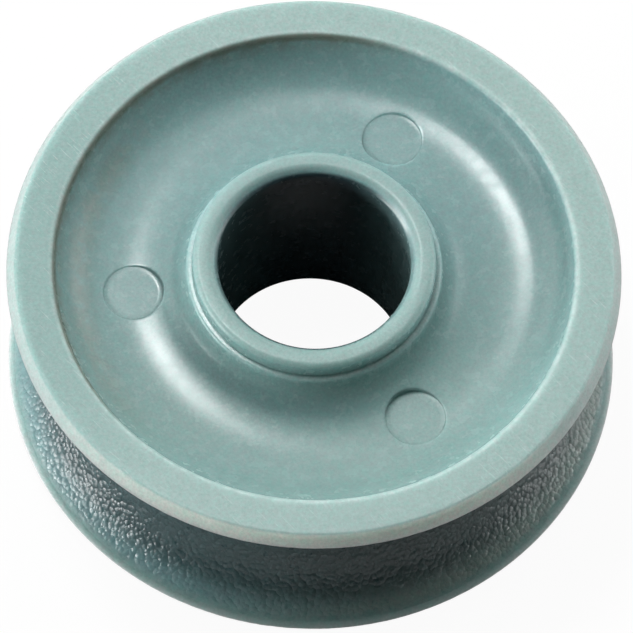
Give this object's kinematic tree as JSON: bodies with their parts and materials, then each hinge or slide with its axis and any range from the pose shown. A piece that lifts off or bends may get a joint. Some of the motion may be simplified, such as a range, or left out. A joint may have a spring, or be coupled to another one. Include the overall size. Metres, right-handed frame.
{
  "type": "wire rope sheave",
  "caption": "Moulded plastic rope sheave with a rounded groove, recessed sides, a raised hub collar and a plain central bore.",
  "frame": {"origin": "on the bore axis, in the middle plane of the rope groove", "axes": "+Z along the bore axis, out of the side that carries the ejector marks; +X and +Y across the wheel"},
  "size_m": [0.051, 0.051, 0.02],
  "materials": {
    "sheave_plastic": "satin moulded, with a rough spark-eroded grain in the groove"
  },
  "bodies": {
    "root": {"sheave": "sheave_plastic"}
  },
  "joints": []
}
